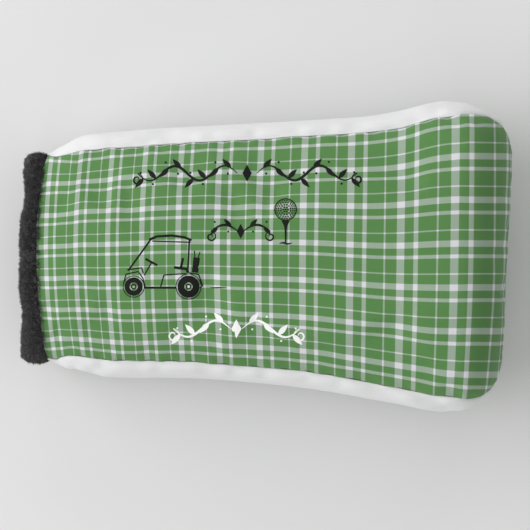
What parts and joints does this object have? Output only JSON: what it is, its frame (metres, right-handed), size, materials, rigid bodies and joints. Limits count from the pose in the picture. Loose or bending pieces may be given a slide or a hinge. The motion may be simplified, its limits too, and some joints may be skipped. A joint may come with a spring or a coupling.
{
  "type": "driver head cover",
  "caption": "Padded cloth cover for the head of a golf driver: plaid front and back, white sides, plush lining turned out as a cuff round the elastic mouth.",
  "frame": {"origin": "on the surface that the cover lies on, under the middle of its length and width", "axes": "+X from the mouth to the closed end, +Z out of the printed front panel, +Y to the upper side"},
  "size_m": [0.2394, 0.1462, 0.0839],
  "materials": {
    "printed_cloth": "fine polyester weave with a printed plaid",
    "white_cloth": "fine white polyester weave",
    "padding": "open-cell polyurethane foam",
    "plush": "dark deep-pile plush",
    "elastic": "ribbed woven elastic",
    "thread": "spun polyester thread"
  },
  "bodies": {
    "root": {"front_panel": "printed_cloth", "back_panel": "printed_cloth", "side_panel_upper": "white_cloth", "side_panel_lower": "white_cloth", "plush_cuff": "plush", "neck_elastic": "elastic", "front_foam": "padding", "back_foam": "padding", "side_foam_upper": "padding", "side_foam_lower": "padding", "front_lining": "plush", "back_lining": "plush", "side_lining_upper": "plush", "side_lining_lower": "plush", "seam_thread_front_upper": "thread", "seam_thread_front_lower": "thread", "seam_thread_back_upper": "thread", "seam_thread_back_lower": "thread", "seam_thread_end": "thread", "hem_thread": "thread", "elastic_thread": "thread"}
  },
  "joints": []
}
